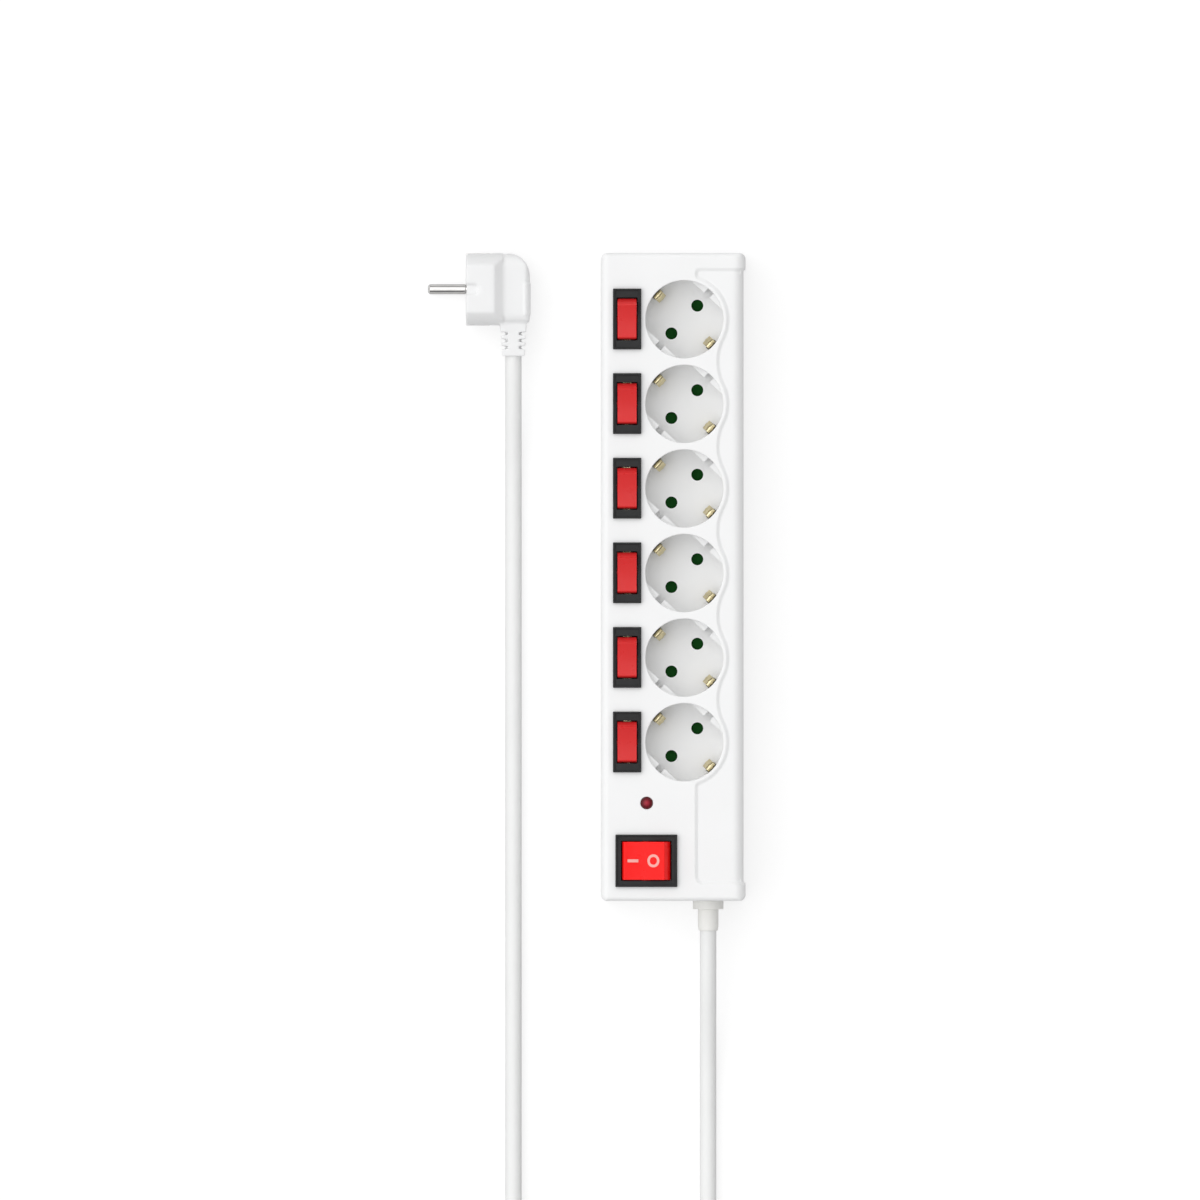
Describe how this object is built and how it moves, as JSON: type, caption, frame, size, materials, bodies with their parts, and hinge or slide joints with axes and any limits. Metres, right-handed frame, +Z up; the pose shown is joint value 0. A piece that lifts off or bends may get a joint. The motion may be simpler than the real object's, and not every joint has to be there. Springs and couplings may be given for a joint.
{
  "type": "power strip",
  "caption": "Long flat power strip with round earthed sockets in a row, a rocker switch beside each, a wide main switch, and a cord with an angled plug.",
  "frame": {"origin": "middle of the strip's underside, on the surface that its feet stand on", "axes": "+Z up out of the sockets, +Y along the strip away from the cord, +X to the right with the switches on the left"},
  "size_m": [0.159, 0.606, 0.0484],
  "materials": {
    "case_white": "fine satin texture",
    "well_white": "satin",
    "shutter_green": "satin",
    "brass": "stamped strip",
    "spring_steel": "drawn wire",
    "bezel_black": "satin",
    "rocker_red": "semi-gloss, translucent",
    "lamp_red": "gloss, translucent",
    "board_green": "coated board",
    "varistor_blue": "dipped coating",
    "screw_steel": "zinc plated",
    "foot_rubber": "matt",
    "live_brown": "smooth insulation",
    "neutral_blue": "smooth insulation",
    "earth_green": "smooth insulation",
    "cord_white": "soft smooth jacket",
    "sleeve_ivory": "soft moulded",
    "plug_white": "satin",
    "nickel": "nickel plated, bright",
    "tie_black": "matt strap"
  },
  "bodies": {
    "strip": {"base_shell": "case_white", "top_cover": "case_white", "shutter_springs": "spring_steel", "earth_bar": "brass", "neutral_bar": "brass", "live_contacts": "brass", "live_feed_bar": "brass", "switch_terminals": "brass", "main_switch_housing": "bezel_black", "main_switch_terminals": "brass", "surge_board": "board_green", "varistors": "varistor_blue", "indicator_lamp": "lamp_red", "case_screws": "screw_steel", "clamp_screws": "screw_steel", "cord_clamp": "case_white", "rubber_feet": "foot_rubber", "live_leads": "live_brown", "neutral_leads": "neutral_blue", "earth_lead": "earth_green", "strain_relief": "sleeve_ivory", "cord_strip_side": "cord_white", "cord_coil": "cord_white", "cord_plug_side": "cord_white", "cord_tie": "tie_black", "plug_body": "plug_white", "plug_pins": "nickel", "plug_earth_contacts": "nickel", "socket_cup_1": "well_white", "switch_housing_1": "bezel_black", "socket_cup_2": "well_white", "switch_housing_2": "bezel_black", "socket_cup_3": "well_white", "switch_housing_3": "bezel_black", "socket_cup_4": "well_white", "switch_housing_4": "bezel_black", "socket_cup_5": "well_white", "switch_housing_5": "bezel_black", "socket_cup_6": "well_white", "switch_housing_6": "bezel_black"},
    "main_rocker": {"main_switch_rocker": "rocker_red"},
    "main_levers": {"main_switch_levers": "brass"},
    "rocker_1": {"switch_rocker_1": "rocker_red"},
    "lever_1": {"switch_lever_1": "brass"},
    "shutter_1": {"shutter_1": "shutter_green"},
    "rocker_2": {"switch_rocker_2": "rocker_red"},
    "lever_2": {"switch_lever_2": "brass"},
    "shutter_2": {"shutter_2": "shutter_green"},
    "rocker_3": {"switch_rocker_3": "rocker_red"},
    "lever_3": {"switch_lever_3": "brass"},
    "shutter_3": {"shutter_3": "shutter_green"},
    "rocker_4": {"switch_rocker_4": "rocker_red"},
    "lever_4": {"switch_lever_4": "brass"},
    "shutter_4": {"shutter_4": "shutter_green"},
    "rocker_5": {"switch_rocker_5": "rocker_red"},
    "lever_5": {"switch_lever_5": "brass"},
    "shutter_5": {"shutter_5": "shutter_green"},
    "rocker_6": {"switch_rocker_6": "rocker_red"},
    "lever_6": {"switch_lever_6": "brass"},
    "shutter_6": {"shutter_6": "shutter_green"}
  },
  "joints": [
    {"name": "rocker_1_tilt", "type": "hinge", "parent": "strip", "child": "rocker_1", "pos_m": [-0.0231, 0.129, 0.04], "axis": [-1, 0, 0], "range_deg": [0, 20]},
    {"name": "lever_1_tilt", "type": "hinge", "parent": "strip", "child": "lever_1", "pos_m": [-0.0231, 0.129, 0.029], "axis": [1, 0, 0], "range_deg": [0, 12]},
    {"name": "shutter_1_turn", "type": "hinge", "parent": "strip", "child": "shutter_1", "pos_m": [0.00555, 0.12885, 0.0208], "axis": [0, 0, 1], "range_deg": [0, 40], "stiffness_Nm_per_rad": 0.002, "springref_deg": -11.46},
    {"name": "rocker_2_tilt", "type": "hinge", "parent": "strip", "child": "rocker_2", "pos_m": [-0.0231, 0.0867, 0.04], "axis": [-1, 0, 0], "range_deg": [0, 20]},
    {"name": "lever_2_tilt", "type": "hinge", "parent": "strip", "child": "lever_2", "pos_m": [-0.0231, 0.0867, 0.029], "axis": [1, 0, 0], "range_deg": [0, 12]},
    {"name": "shutter_2_turn", "type": "hinge", "parent": "strip", "child": "shutter_2", "pos_m": [0.00555, 0.08655, 0.0208], "axis": [0, 0, 1], "range_deg": [0, 40], "stiffness_Nm_per_rad": 0.002, "springref_deg": -11.46},
    {"name": "rocker_3_tilt", "type": "hinge", "parent": "strip", "child": "rocker_3", "pos_m": [-0.0231, 0.0444, 0.04], "axis": [-1, 0, 0], "range_deg": [0, 20]},
    {"name": "lever_3_tilt", "type": "hinge", "parent": "strip", "child": "lever_3", "pos_m": [-0.0231, 0.0444, 0.029], "axis": [1, 0, 0], "range_deg": [0, 12]},
    {"name": "shutter_3_turn", "type": "hinge", "parent": "strip", "child": "shutter_3", "pos_m": [0.00555, 0.04425, 0.0208], "axis": [0, 0, 1], "range_deg": [0, 40], "stiffness_Nm_per_rad": 0.002, "springref_deg": -11.46},
    {"name": "rocker_4_tilt", "type": "hinge", "parent": "strip", "child": "rocker_4", "pos_m": [-0.0231, 0.0021, 0.04], "axis": [-1, 0, 0], "range_deg": [0, 20]},
    {"name": "lever_4_tilt", "type": "hinge", "parent": "strip", "child": "lever_4", "pos_m": [-0.0231, 0.0021, 0.029], "axis": [1, 0, 0], "range_deg": [0, 12]},
    {"name": "shutter_4_turn", "type": "hinge", "parent": "strip", "child": "shutter_4", "pos_m": [0.00555, 0.00195, 0.0208], "axis": [0, 0, 1], "range_deg": [0, 40], "stiffness_Nm_per_rad": 0.002, "springref_deg": -11.46},
    {"name": "rocker_5_tilt", "type": "hinge", "parent": "strip", "child": "rocker_5", "pos_m": [-0.0231, -0.0402, 0.04], "axis": [-1, 0, 0], "range_deg": [0, 20]},
    {"name": "lever_5_tilt", "type": "hinge", "parent": "strip", "child": "lever_5", "pos_m": [-0.0231, -0.0402, 0.029], "axis": [1, 0, 0], "range_deg": [0, 12]},
    {"name": "shutter_5_turn", "type": "hinge", "parent": "strip", "child": "shutter_5", "pos_m": [0.00555, -0.04035, 0.0208], "axis": [0, 0, 1], "range_deg": [0, 40], "stiffness_Nm_per_rad": 0.002, "springref_deg": -11.46},
    {"name": "rocker_6_tilt", "type": "hinge", "parent": "strip", "child": "rocker_6", "pos_m": [-0.0231, -0.0825, 0.04], "axis": [-1, 0, 0], "range_deg": [0, 20]},
    {"name": "lever_6_tilt", "type": "hinge", "parent": "strip", "child": "lever_6", "pos_m": [-0.0231, -0.0825, 0.029], "axis": [1, 0, 0], "range_deg": [0, 12]},
    {"name": "shutter_6_turn", "type": "hinge", "parent": "strip", "child": "shutter_6", "pos_m": [0.00555, -0.08265, 0.0208], "axis": [0, 0, 1], "range_deg": [0, 40], "stiffness_Nm_per_rad": 0.002, "springref_deg": -11.46},
    {"name": "main_rocker_tilt", "type": "hinge", "parent": "strip", "child": "main_rocker", "pos_m": [-0.0135, -0.1419, 0.04], "axis": [0, 1, 0], "range_deg": [0, 20]},
    {"name": "main_levers_tilt", "type": "hinge", "parent": "strip", "child": "main_levers", "pos_m": [-0.0135, -0.1419, 0.029], "axis": [0, -1, 0], "range_deg": [0, 12]}
  ],
  "couplings": [
    {"joint": "lever_1_tilt", "follows": "rocker_1_tilt", "ratio": 0.6},
    {"joint": "lever_2_tilt", "follows": "rocker_2_tilt", "ratio": 0.6},
    {"joint": "lever_3_tilt", "follows": "rocker_3_tilt", "ratio": 0.6},
    {"joint": "lever_4_tilt", "follows": "rocker_4_tilt", "ratio": 0.6},
    {"joint": "lever_5_tilt", "follows": "rocker_5_tilt", "ratio": 0.6},
    {"joint": "lever_6_tilt", "follows": "rocker_6_tilt", "ratio": 0.6},
    {"joint": "main_levers_tilt", "follows": "main_rocker_tilt", "ratio": 0.6}
  ]
}
